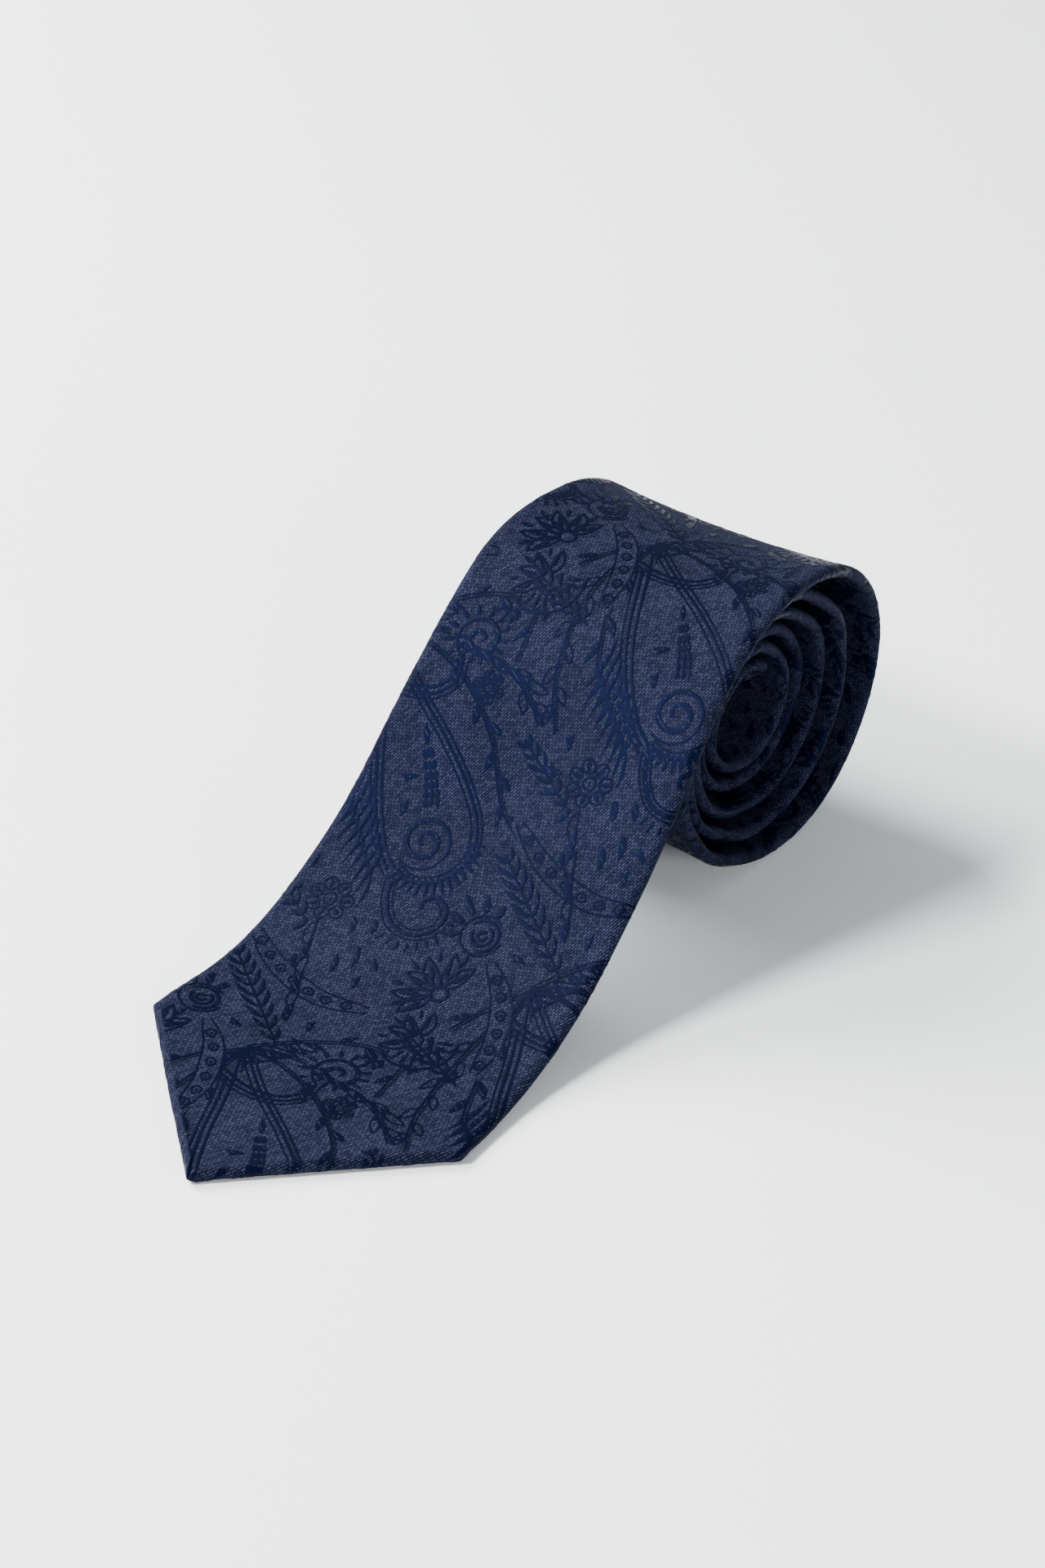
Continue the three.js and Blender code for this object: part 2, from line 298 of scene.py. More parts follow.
def flower(centre, size, petals, turn=0.0):
    centre = np.asarray(centre, float)
    ring(centre, 0.26 * size, 0.3)
    stroke([centre, centre + 0.01], 0.4)
    for k in range(petals):
        a = turn + 2 * math.pi * k / petals
        out = np.array([math.cos(a), math.sin(a)])
        ring(centre + 0.68 * size * out, 0.27 * size, 0.26)
        leaf(centre + 0.5 * size * out, centre + 0.86 * size * out, 0.09 * size)


def spray(root, tip, pairs, reach, half):
    """A stem with slanted leaves on both sides, like an ear of wheat."""
    root, tip = np.asarray(root, float), np.asarray(tip, float)
    along = (tip - root) / np.linalg.norm(tip - root)
    side = np.array([-along[1], along[0]])
    stroke([root, tip], 0.3)
    for k in range(pairs):
        at = root + (tip - root) * (k + 0.4) / pairs
        size = reach * (0.55 + 0.45 * math.sin(math.pi * (k + 0.5) / pairs))
        for sign in (1, -1):
            leaf(at + 0.5 * sign * side, at + size * (0.84 * along + 0.5 * sign * side), half, 0.05 * sign)


def scroll(centre, radius, turns, start, hand, half):
    """A spiral that widens from its eye; its outermost end is returned."""
    t = np.linspace(0, 1, int(28 * turns))
    a = start + hand * 2 * math.pi * turns * (1 - t)
    r = radius * (0.10 + 0.90 * t**0.9)
    points = np.asarray(centre) + np.stack([r * np.cos(a), r * np.sin(a)], -1)
    stroke(points, half * (0.55 + 0.75 * np.sin(math.pi * np.clip(t * 1.1, 0, 1))))
    return points


print("motifs are ready")

# %% Stems and their leaves
S = np.array([27.0, 48.0])  # eye of the big scroll
P = S + [12.6, 57.0]  # point of the big teardrop, where the stems meet


def round_about(degrees):
    return np.array([math.cos(math.radians(degrees)), math.sin(math.radians(degrees))])


def stem(steps, half, leaves=0, size=5.5, hollow=0.0, twin=0.95):
    """A stem from the point of the teardrop, with leaves on alternate sides of its second half."""
    points = curve(P + np.array([[0, 0], *steps], float), 48)
    stroke(points, half)
    stroke(beside(points, twin), 0.22)
    for k in range(leaves):
        at = len(points) * (0.34 + 0.60 * k / max(leaves, 1))
        here, ahead = points[int(at)], points[min(int(at) + 3, len(points) - 1)] - points[int(at)]
        ahead = ahead / max(np.linalg.norm(ahead), 1e-9)
        side = np.array([-ahead[1], ahead[0]]) * (1 if k % 2 else -1)
        leaf(here + 0.7 * side, here + size * (0.85 * ahead + 0.52 * side), 0.17 * size, 0.05, hollow)


stem([[-8, -7], [-19, -21], [-28, -37]], 0.34, 5, 6.5)
stem([[-13, -7], [-27, -19], [-38, -33], [-43, -45]], 0.30, 7, 6.0, 0.26)
stem([[-16, -2], [-32, -10], [-45, -23]], 0.28, 5, 5.5)
stem([[7, -8], [12, -22], [12.5, -38], [8.5, -56], [9.5, -66]], 0.32, 8, 5.6)
stem([[11, -6], [20, -17], [25, -31], [25, -41]], 0.30, 6, 6.4, 0.26)
stem([[15, 0], [29, -5], [38, -16]], 0.26, 4, 5.0)
stem([[-4, -12], [-9, -22], [-12, -30]], 0.24, 0)
for degrees in (-152, -30):
    leaf(P + 2.5 * round_about(degrees), P + 10.5 * round_about(degrees), 0.9, 0.06)
print("stems are laid")

# %% The big teardrop
# Its inside is cleared first, so that the stems pass behind it.
stroke(S + [[12.0, 50], [8.6, 37], [4.6, 22], [2.6, 8], [2.4, 1.5]], [0.6, 6.0, 9.6, 11.6, 11.8], cut=True)
coil = scroll(S + [0.2, 0.6], 7.9, 2.05, math.radians(190), 1, 0.62)
body_right = curve(S + [[-9.2, -3.4], [-5.6, -8.8], [1.6, -11.2], [9.2, -8.6], [13.8, -1.5], [15.2, 10],
                        [14.6, 25], [12.8, 41], [12.6, 56]], 72)
body_left = curve(S + [[-9.4, -3.6], [-9.6, 4], [-7.0, 15], [-2.0, 27], [5.2, 41], [12.2, 57]], 60)
stroke(body_right, np.interp(np.arange(len(body_right)), [0, 20, 72], [0.62, 0.5, 0.34]))
stroke(beside(body_right, 1.5), 0.26)
stroke(beside(body_right[26:], -1.35), 0.3)
stroke(body_left, 0.42)
dots(beside(body_left[2:-8], 1.7), 1.9, 0.52)
stroke(beside(body_left[:-8], 3.1), 0.28)
for k in range(15):  # teeth below the scroll
    out = round_about(196 + 9.5 * k)
    leaf(S + [1.2, -0.4] + 9.6 * out, S + [1.6, -0.6] + 14.6 * out, 0.66, 0.10)

# A ladder of three columns stands on the scroll.
rail = curve(S + [[4.6, 8.6], [6.4, 13], [8.0, 18], [9.6, 24.5]], 24)
for k in range(6):
    at = rail[min(int(k * len(rail) / 6.2), len(rail) - 3)]
    ahead = rail[min(int(k * len(rail) / 6.2) + 2, len(rail) - 1)] - at
    ahead = ahead / np.linalg.norm(ahead)
    side = np.array([-ahead[1], ahead[0]])
    for column in (-1, 0, 1):
        foot = at + column * 1.62 * (1 - 0.08 * k) * side
        leaf(foot, foot + 2.5 * ahead, 0.62)
leaf(rail[-1], rail[-1] + [1.9, 5.4], 0.8)

# A fan of long feathers on its left, in two tiers.
for k in range(8):
    root = S + np.array([-6.4, 27.0]) + k * np.array([-0.50, -3.1])
    leaf(root, root + (14.5 - 0.4 * k) * round_about(215 + 1.6 * k), 0.74, 0.05)
    root = root + 7.6 * round_about(215 + 1.6 * k) + [0.0, -1.6]
    leaf(root, root + 10.0 * round_about(219 + 1.6 * k), 0.50, 0.05)

# A smaller curl hangs below it, made of beads and short teeth.
tail = curve(S + [[-10.2, -4.5], [-13.4, -10], [-14.6, -17], [-11.2, -22.6], [-5.0, -23.8], [-0.6, -20.2],
                  [-1.4, -15.6], [-5.2, -14.9], [-6.6, -17.4]], 64)
dots(tail, 1.75, 0.66)
stroke(beside(tail[:50], 1.45), 0.26)
stroke(beside(tail[:36], -1.5), 0.26)
for k in range(9):
    out = round_about(196 + 15 * k)
    leaf(S + [-8.2, -17.2] + 8.6 * out, S + [-8.4, -17.0] + 11.6 * out, 0.5, 0.08)
print("teardrop is drawn")

# %% Flowers, rose and lotus
F = S + [-27.0, -4.5]
flower(F, 6.6, 7, 0.3)
loose_leaves = (([4.4, -7.2], [1.6, -12.2]), ([-5.6, 6.0], [-9.8, 10.4]), ([-7.6, 2.6], [-12.8, 4.2]),
                ([-6.8, -3.6], [-11.4, -5.4]), ([-2.6, -17.0], [-6.0, -22.4]), ([3.0, -16.6], [-0.4, -22.4]),
                ([9.0, -10.4], [6.8, -14.4]), ([-12.5, -13.5], [-15.5, -18.0]))
for root, tip in loose_leaves:
    leaf(F + root, F + tip, 1.0, 0.05)
flower(S + [29.5, 31.0], 4.6, 6, 0.1)
R = S + [5.6, -30.4]
stroke([R, R + 0.01], 6.2, cut=True)
for radius, arc, start in ((1.2, 5.0, 0.4), (2.7, 4.4, 2.2), (4.3, 3.9, 4.1), (5.6, 5.2, 0.2)):
    ring(R, radius, 0.50 if radius < 5 else 0.34, start, arc)
for degrees, reach in ((62, 11.0), (90, 13.0), (118, 11.5), (148, 10.0), (32, 9.5)):
    leaf(R + 6.2 * round_about(degrees), R + reach * round_about(degrees), 1.15, 0.06)


def lotus(centre, reach, angles, line):
    """Petals in two rows over a cup with a fringe."""
    centre = np.asarray(centre, float)
    for k, degrees in enumerate(angles):
        size = reach * (1 - 0.045 * (k % 3))
        leaf(centre + 2.0 * round_about(degrees), centre + size * round_about(degrees), 0.15 * reach,
             0.06 if k % 2 else -0.06, line)
        leaf(centre + 0.42 * size * round_about(degrees), centre + 0.84 * size * round_about(degrees),
             0.055 * reach, 0.04)
        between = round_about(degrees + 18)
        leaf(centre + 0.78 * reach * between, centre + 1.08 * reach * between, 0.06 * reach, 0.08)


L = S + [-9.0, -42.5]
M = S + [-17.5, -55.5]
stroke([L, L + 0.01], 7.5, cut=True)
stroke([M, M + 0.01], 8.5, cut=True)
lotus(L, 12.0, (54, 88, 122, 156, 190, 20), 0.40)
lotus(M, 9.6, (52, 92, 132, 172), 0.36)
ring(L, 2.2, 0.5)
ring(M, 3.4, 0.5, math.radians(190), math.radians(170))
ring(M, 9.8, 0.42, math.radians(196), math.radians(140))
for k in range(8):
    leaf(M + 4.6 * round_about(208 + 18 * k), M + 8.9 * round_about(208 + 18 * k), 0.62)
bud = S + [-27.0, -58.5]
for degrees, reach in ((170, 6.4), (200, 7.6), (230, 6.4), (150, 4.4), (250, 4.6)):
    leaf(bud + 1.4 * round_about(degrees), bud + reach * round_about(degrees), 0.8)
print("flowers are drawn")

# %% The hooked scroll, the beaded bands and the ears of wheat
H = S + [-38.8, -63.0]
stroke([H, H + 0.01], 8.2, cut=True)
hook = scroll(H, 6.6, 1.75, math.radians(205), -1, 0.62)
for k in range(17):
    at = hook[-1 - 2 * k]
    out = (at - H) / np.linalg.norm(at - H)
    leaf(at + 0.9 * out, at + (4.4 - 0.10 * k) * out, 0.62, -0.1)
arm = curve(H + [[-6.0, -3.0], [-10, -7.5], [-17, -7.4], [-24, -1.6], [-29, 8]], 50)
stroke(arm, 0.42)
stroke(beside(arm, 1.4), 0.26)
dots(beside(arm, -1.7), 1.9, 0.55)
for k in range(6):
    foot = H + [-3.0 - 2.6 * k, 9.4 - 0.4 * k]
    leaf(foot, foot + 7.6 * round_about(128 + 6 * k), 0.95, 0.08, 0.0 if k % 2 else 0.28)

left_band = curve(S + [[-47, -6], [-44.6, -20], [-37.8, -33.5], [-27, -42]], 50)
right_band = curve(S + [[5.4, -38.5], [5.0, -49], [0.4, -60.5], [-7.6, -70]], 50)
for path in (left_band, right_band):
    stroke(path, 2.3, cut=True)
    beaded(path, 2.7, 5.4)
spray(S + [20.0, -49.0], S + [18.0, -12.0], 9, 7.6, 0.66)
spray(S + [-12.5, 34.0], S + [-19.5, 55.0], 6, 6.2, 0.58)
spray(S + [36.5, -8.0], S + [33.0, 14.0], 6, 5.4, 0.54)
for k in range(6):
    leaf(S + [24.0 + 2.1 * k, -41.0 + 5.0 * k], S + [27.8 + 2.3 * k, -34.6 + 5.0 * k], 1.15, 0.08,
         0.28 if k % 2 else 0.0)
for k in range(5):
    leaf(S + [-28.0 - 3.2 * k, 22.0 + 5.0 * k], S + [-31.5 - 3.2 * k, 28.6 + 5.0 * k], 1.15, 0.08,
         0.0 if k % 2 else 0.28)

# Small pairs of leaves fill the ground that is still empty.
room, strewn = round(3.1 / GRAIN), 0
for column in range(18):
    for row in range(27):
        at = np.array([column + 0.5 * (row % 2), row]) * [REPEAT_X / 18, REPEAT_Y / 27]
        i, j = (at / GRAIN).astype(int)
        near = np.ix_(np.arange(i - room, i + room) % COLUMNS, np.arange(j - room, j + room) % ROWS)
        if figure[near].max() < -0.3:
            lean = 40 + 35 * ((3 * column + 2 * row) % 4)
            leaf(at - 2.3 * round_about(lean), at + 2.1 * round_about(lean + 12), 0.78, 0.08)
            leaf(at - 1.6 * round_about(lean), at + 2.3 * round_about(lean + 74), 0.52, -0.08)
            strewn += 1
print(f"{strewn} pairs strewn; floats cover {100 * (figure > 0).mean():.0f}% of the cloth")

# %% [markdown]
# ## From the loom to the tie
# A tie is cut on the bias, so that it hangs straight: the loom's upright runs across the blade at nearly 45
# degrees. The tile is turned by that angle and set so that one large scroll lies left of the middle of the
# blade and the next one up at the right edge, under the crest.

# %% Read the figure at any place of the flat cloth
BIAS = math.radians(42)
SCROLL_AT = (123.0, -16.0)  # mm along and across the blade


def floats_at(s, x):
    ds, dx = s - SCROLL_AT[0], x - SCROLL_AT[1]
    u = (ds * math.cos(BIAS) + dx * math.sin(BIAS) + S[0]) / GRAIN
    v = (ds * math.sin(BIAS) - dx * math.cos(BIAS) + S[1]) / GRAIN
    i, j = np.floor(u).astype(int), np.floor(v).astype(int)
    fu, fv = u - i, v - j
    i0, i1, j0, j1 = i % COLUMNS, (i + 1) % COLUMNS, j % ROWS, (j + 1) % ROWS
    low = figure[i0, j0] * (1 - fu) + figure[i1, j0] * fu
    high = figure[i0, j1] * (1 - fu) + figure[i1, j1] * fu
    return low * (1 - fv) + high * fv


print("figure at the scroll:", round(float(floats_at(np.array(124.0), np.array(-15.0))), 2))

# %% [markdown]
# ## A mesh from a grid of points
# Every layer is a band whose cross-section changes along the strand, so each one is a grid: one row of points
# per station, and one closed loop of points per row. The shading normals are worked out on the grid with one
# extra row at each end, so two pieces that meet share the same normals and no line shows between them.

# %% Grid to mesh
def grid_mesh(name, points, outward, values=None):
    """points is (rows, loop, 3) in metres, with a spare row at each end; outward is the normals' sign."""
    around = (np.roll(points, -1, 1) - np.roll(points, 1, 1))[1:-1]
    normals = outward * np.cross(points[2:] - points[:-2], around)
    normals /= np.maximum(np.linalg.norm(normals, axis=2, keepdims=True), 1e-12)
    kept = points[1:-1]
    rows, loop = kept.shape[:2]
    index = np.arange(rows * loop).reshape(rows, loop)
    after = np.roll(index, -1, 1)
    quads = np.stack([index[:-1], after[:-1], after[1:], index[1:]], -1).reshape(-1, 4)
    caps = [index[0][::-1], index[-1]]
    if outward > 0:
        quads, caps = quads[:, ::-1], [cap[::-1] for cap in caps]
    corners = np.concatenate([quads.ravel(), *caps])
    starts = np.r_[np.arange(0, quads.size, 4), quads.size, quads.size + loop]
    mesh = bpy.data.meshes.new(name)
    mesh.vertices.add(rows * loop)
    mesh.vertices.foreach_set("co", kept.astype(np.float32).ravel())
    mesh.loops.add(len(corners))
    mesh.loops.foreach_set("vertex_index", corners.astype(np.int32))
    mesh.polygons.add(len(starts))
    mesh.polygons.foreach_set("loop_start", starts.astype(np.int32))
    mesh.polygons.foreach_set("use_smooth", np.ones(len(starts), bool))
    mesh.update(calc_edges=True)
    mesh.normals_split_custom_set_from_vertices(normals.reshape(-1, 3).astype(np.float32))
    for key, value in (values or {}).items():
        kind = "FLOAT_VECTOR" if value.ndim == 3 else "FLOAT"
        data = mesh.attributes.new(key, kind, "POINT").data
        data.foreach_set("vector" if value.ndim == 3 else "value", value.astype(np.float32).ravel())
    made = bpy.data.objects.new(name, mesh)
    bpy.context.scene.collection.objects.link(made)
    return made


# %% [markdown]
# ## The silk shell
# The silk is a wide strip folded round to the back from both sides. Its cross-section is a soft envelope: a
# front face a little hollow between two puffy folded edges, then two flaps that nearly meet behind. Near each
# point the flaps part in a diamond that shows the lining. The floats of the figure stand a tenth of a
# millimetre above the ground weave, as real relief.

# %% Cross-section of the shell
CLOTH = 0.45
HEM, HEM_START, DIAMOND, TAIL_DIAMOND = 12.0, 12.0, 95.0, 58.0
SLIT, POINT_SLIT = 0.12, 0.12
FLOAT_HEIGHT = 0.11


def slit_half(s):
    stops = [0, HEM_START, TIP_LENGTH, DIAMOND, TOTAL - TAIL_DIAMOND, TOTAL - TAIL_WIDTH / 2,
             TOTAL - HEM_START / 2, TOTAL]
    wide, narrow = BLADE_WIDTH / 2 - HEM, TAIL_WIDTH / 2 - HEM / 2
    return np.interp(s, stops, [POINT_SLIT, POINT_SLIT, wide, SLIT, SLIT, narrow, POINT_SLIT, POINT_SLIT])


def shell_section(s, front, flap):
    """Across and level of each point of the loop, for stations s; front and flap are counts of points."""
    w = half_width(s)[:, None]
    round_ = np.minimum(2.3, 0.45 * w)
    half = np.minimum(THICK / 2 + 0.05, 0.25 + 0.8 * w)
    slit = np.minimum(slit_half(s)[:, None], w - 1.12 * round_)
    flat = w - round_
    across = np.linspace(-1, 1, front)[None, :]
    turn = np.linspace(math.pi / 2, -math.pi / 2, 11)[None, 1:-1]
    back = np.linspace(1, 0, flap)[None, :]
    face = half - 0.42 * (1 - np.abs(across) ** 5)
    puff = half - 0.16 * (1 - back)
    edge_x, edge_n = flat + round_ * np.cos(turn), half * np.sin(turn)
    flap_x = slit + back * (flat - slit)
    inner_turn = turn[:, ::2]
    inner_x = flat + (round_ - CLOTH * 1.3) * np.cos(inner_turn)
    inner_n = (half - CLOTH) * np.sin(inner_turn)
    inner_back = back[:, ::max(1, flap // 5)]
    inner_face = across[:, ::max(1, front // 12)]
    outer_x = [-flap_x[:, ::-1], -edge_x[:, ::-1], flat * across, edge_x, flap_x]
    outer_n = [-puff[:, ::-1], edge_n[:, ::-1], face, edge_n, -puff]
    back_x = slit + inner_back[:, ::-1] * (flat - slit)
    hidden_x = [back_x, inner_x[:, ::-1], -flat * inner_face, -inner_x, -back_x[:, ::-1]]
    level = -(half - CLOTH) + 0 * back_x
    hidden_n = [level, inner_n[:, ::-1], half - CLOTH - 0.42 * (1 - np.abs(inner_face) ** 5), inner_n, level]
    x = np.concatenate([v + 0 * w for v in outer_x + hidden_x], 1)
    n = np.concatenate([v + 0 * w for v in outer_n + hidden_n], 1)
    return x, n, sum(v.shape[1] for v in outer_x)


def shell(name, start, end, step, front, flap, bias=(0.0, 0.0)):
    """One length of the silk; bias slants its two ends, as the seams between the panels are slanted."""
    rows = max(3, round((end - start) / step))
    share = np.linspace(0, 1, rows + 1)
    share = np.r_[-share[1], share, 1 + share[1]]
    s0 = start + share * (end - start)
    x, n, seen = shell_section(s0, front, flap)
    s = s0[:, None] + x * (bias[0] * (1 - share) + bias[1] * share)[:, None]
    run = np.hypot(np.diff(x[:, :seen], axis=1), np.diff(n[:, :seen], axis=1))
    flat_x = np.concatenate([np.zeros((len(s0), 1)), np.cumsum(run, 1)], 1)
    flat_x -= (flat_x[:, :1] + flat_x[:, -1:]) / 2
    flat_x = np.concatenate([flat_x, np.repeat(flat_x[:, -1:], x.shape[1] - seen, 1)], 1)
    raised = floats_at(s, flat_x)
    raised[:, seen:] = -FARTHEST
    plain = place(s, x, n)
    along = np.gradient(plain, axis=0)
    around = np.roll(plain, -1, 1) - np.roll(plain, 1, 1)
    out = np.cross(along, around)
    out /= np.maximum(np.linalg.norm(out, axis=2, keepdims=True), 1e-12)
    sign = np.sign(out[rows // 2, seen // 2] @ (place(s0[rows // 2], 0, 9) - place(s0[rows // 2], 0, 0)))
    points = plain + sign * out * (smooth(raised, -0.16, 0.16) * FLOAT_HEIGHT * MM)[..., None]
    flat_cloth = np.stack([s, flat_x, 0 * s], -1)[1:-1]
    made = grid_mesh(name, points, sign, values={"floats": raised[1:-1], "flat_cloth": flat_cloth})
    print(f"{name}: {len(made.data.polygons)} faces")
    return made


# %% Cut the shell into lengths
SEAM_NECK, SEAM_TAIL = 700.0, 950.0
DETAIL = 1.0  # coarser cloth while trying things
lengths = {
    "silk_point": (0.35, 85, 0.40, 226, 26),
    "silk_blade": (85, 175, 0.40, 216, 44),
    "silk_crest": (175, 285, 0.40, 204, 40),
    "silk_outer_coil": (285, 500, 0.60, 140, 36),
    "silk_second_coil": (500, SEAM_NECK, 0.95, 84, 24),
    "silk_neck": (SEAM_NECK, SEAM_TAIL, 0.95, 80, 22),
    "silk_tail": (SEAM_TAIL, TOTAL - 0.35, 0.95, 76, 20),
}
slants = {"silk_second_coil": (0.0, 0.8), "silk_neck": (0.8, -0.8), "silk_tail": (-0.8, 0.0)}
silk_lengths = {}
for name, (start, end, step, front, flap) in lengths.items():
    counts = (max(24, round(front / DETAIL)), max(8, round(flap / DETAIL)))
    silk_lengths[name] = shell(name, start, end, step * DETAIL, *counts, slants.get(name, (0.0, 0.0)))

# %% [markdown]
# ## Interlining and tippings
# The interlining is a brushed wool strip that gives the tie its body. It is hidden except where the flaps
# part, and even there the tipping, a smooth lining silk, covers it. Both are plain flat bands a little
# narrower than the shell.


# %% Inner bands
def band(name, start, end, level, inset, step, count):
    s = np.arange(start - step, end + step * 1.01, step)
    w = np.maximum(half_width(s) - inset, 0.05)[:, None]
    across = np.linspace(-1, 1, count)[None, :]
    top, bottom = np.full_like(across, level[1]), np.full_like(across, level[0])
    x = np.concatenate([w * across, w * across[:, ::-1]], 1)
    n = np.concatenate([top + 0 * w, bottom + 0 * w], 1)
    n[:, 0], n[:, count - 1], n[:, count], n[:, -1] = [
        level[0] * k + level[1] * (1 - k) for k in (0.3, 0.3, 0.7, 0.7)]
    flat_cloth = np.stack([s[:, None] + 0 * x, x, 0 * x], -1)[1:-1]
    return grid_mesh(name, place(s[:, None], x, n), -1, values={"flat_cloth": flat_cloth})


interlining_lengths = {
    "wool_point": band("wool_point", 7, 130, (-0.15, 0.72), 2.6, 1.6, 40),
    "wool_crest": band("wool_crest", 130, 300, (-0.15, 0.72), 2.6, 1.6, 40),
    "wool_coil": band("wool_coil", 300, TOTAL - 7, (-0.15, 0.72), 2.6, 2.0, 24),
}
tippings = {
    "lining_point": band("lining_point", 6, 132, (-0.85, -0.45), 2.6, 0.8, 90),
    "lining_tail": band("lining_tail", TOTAL - 80, TOTAL - 6, (-0.85, -0.45), 2.6, 0.8, 60),
}
print("inner bands:", ", ".join([*interlining_lengths, *tippings]))

# %% [markdown]
# ## Sewing thread
# The back is closed by one long slip stitch, so loose that it shows only as short slanted bars across the
# slit. A dense bar tack locks it at each end. Thread is a thin tube laid along a path on the cloth.


# %% Thread along a path
def thread(name, path, radius, sides=6):
    """path is a list of (along, across, level) in millimetres."""
    s, x, n = np.asarray(path, float).T
    core = place(s, x, n)
    lifted = place(s, x, n + 1) - core
    ahead = np.gradient(core, axis=0)
    ahead /= np.linalg.norm(ahead, axis=1, keepdims=True)
    side = np.cross(ahead, lifted)
    side /= np.linalg.norm(side, axis=1, keepdims=True)
    up = np.cross(side, ahead)
    a = np.linspace(0, 2 * math.pi, sides, endpoint=False)
    thick = np.full(len(core), radius)
    thick[[0, -1]] = radius * 0.1
    loop = np.cos(a)[None, :, None] * side[:, None] + np.sin(a)[None, :, None] * up[:, None]
    points = core[:, None] + loop * (thick * MM)[:, None, None]
    spare = [2 * points[:1] - points[1:2], points, 2 * points[-1:] - points[-2:-1]]
    return grid_mesh(name, np.concatenate(spare), 1)


def slip_stitch(name, start, end):
    bottom = -THICK / 2
    path = []
    for s in np.arange(start, end - 7, 7.0):
        path += [(s, -1.5, bottom + 0.35), (s + 0.2, -1.15, bottom - 0.12), (s + 1.3, 0, bottom - 0.28),
                 (s + 2.4, 1.15, bottom - 0.12), (s + 2.7, 1.5, bottom + 0.35), (s + 4.4, 0.3, bottom + 0.45),
                 (s + 6.2, -1.2, bottom + 0.42)]
    return thread(name, path, 0.21)


def bar_tack(name, s, windings=26, width=9.8):
    t = np.linspace(0, 1, windings * 9)
    a = 2 * math.pi * windings * t
    path = np.stack([s + 0.8 * np.cos(a), width * (t - 0.5), -THICK / 2 - 0.30 + 0.32 * np.sin(a)], -1)
    return thread(name, path, 0.19)


stitches = {
    "stitch_blade": slip_stitch("stitch_blade", 97, 178),
    "stitch_crest": slip_stitch("stitch_crest", 178, 290),
    "stitch_coil": slip_stitch("stitch_coil", 290, TOTAL - 60),
}
tacks = {"tack_wide": bar_tack("tack_wide", 97.2), "tack_tail": bar_tack("tack_tail", TOTAL - 60.2)}
print("thread pieces:", len(stitches) + len(tacks))

# %% [markdown]
# ## The keeper loop
# Behind the wide blade a narrow band of the same silk is sewn on at both ends. The narrow end of the tie
# slips through it when the tie is worn. It is a flattened tube with folded edges, bowed away from the blade.

# %% Keeper loop
KEEPER_AT, KEEPER_WIDTH, KEEPER_SPAN, KEEPER_RISE = 145.5, 10.6, 47.6, 4.3


def keeper():
    x = np.linspace(-KEEPER_SPAN / 2, KEEPER_SPAN / 2, 97)
    rise = smooth(KEEPER_SPAN / 2 - np.abs(x), 5.5, 13.5)
    level = -THICK / 2 - 0.75 - (KEEPER_RISE - 0.35) * rise
    a = np.linspace(0, 2 * math.pi, 44, endpoint=False)
    across = KEEPER_WIDTH / 2 * np.sign(np.cos(a)) * np.abs(np.cos(a)) ** 0.35
    deep = 0.40 * np.sign(np.sin(a)) * np.abs(np.sin(a)) ** 0.5
    ends = np.clip((KEEPER_SPAN / 2 - np.abs(x)) / 0.7, 0.12, 1)
    s = KEEPER_AT + across[None, :] + 0 * x[:, None]
    n = level[:, None] + deep[None, :] * ends[:, None]
    x = x[:, None] + 0 * s
    raised = floats_at(x + 300, s)
    points = place(s, x, n)
    flat_cloth = np.stack([x, s, 0 * s], -1)[1:-1]
    return grid_mesh("keeper_band", points, -1, values={"floats": raised[1:-1], "flat_cloth": flat_cloth})


keeper_band = keeper()
keeper_stitches = []
for side in (-1, 1):
    path = []
    for k in range(9):
        s = KEEPER_AT - 4.4 + 1.1 * k
        x, low = side * (KEEPER_SPAN / 2 - 2.6), -THICK / 2 - 1.28
        path += [(s, x, low + 0.3), (s + 0.15, x, low), (s + 0.75, x, low), (s + 0.9, x, low + 0.3)]
    keeper_stitches.append(thread(f"keeper_stitch_{'left' if side < 0 else 'right'}", path, 0.16))
print("keeper band is", KEEPER_WIDTH, "mm wide")

# %% [markdown]
# ## Materials
# Silk is a smooth, clear fibre (IOR about 1.54, not a metal). How it looks depends on how it lies: the twill
# ground scatters light from many short floats, so it is soft and greyish, while the long satin floats of the
# figure lie side by side and shine, so they go from deep navy to bright blue with the light. Every pattern
# reads the flat coordinates of the cloth, in millimetres, so the weave follows the folds.


# %% Helpers for colour and nodes
def srgb(code):
    channels = [int(code[i:i + 2], 16) / 255 for i in (1, 3, 5)]
    return tuple(c / 12.92 if c <= 0.04045 else ((c + 0.055) / 1.055) ** 2.4 for c in channels) + (1.0,)


def material(name):
    made = bpy.data.materials.new(name)
    made.use_nodes = True
    made.node_tree.nodes.clear()
    return made


def node(owner, kind, settings=None, **inputs):
    """Adds a node; an input takes a value or another node's output."""
    tree = owner.node_tree
    made = tree.nodes.new(kind)
    for key, value in (settings or {}).items():
        setattr(made, key, value)
    for key, value in inputs.items():
        socket = made.inputs[int(key[1:])] if key[0] == "_" and key[1:].isdigit() else made.inputs[
            key.replace("_", " ")]
        if isinstance(value, bpy.types.NodeSocket):
            tree.links.new(value, socket)
        else:
            socket.default_value = value
    return made


def attribute(owner, name, output):
    return node(owner, "ShaderNodeAttribute", {"attribute_name": name}).outputs[output]


def blend_colour(owner, share, a, b, mode="MIX"):
    made = node(owner, "ShaderNodeMix", {"data_type": "RGBA", "blend_type": mode}, _0=share, _6=a, _7=b)
    return made.outputs[2]


def sums(owner, operation, a, b=0.0, c=0.0):
    return node(owner, "ShaderNodeMath", {"operation": operation}, _0=a, _1=b, _2=c).outputs[0]


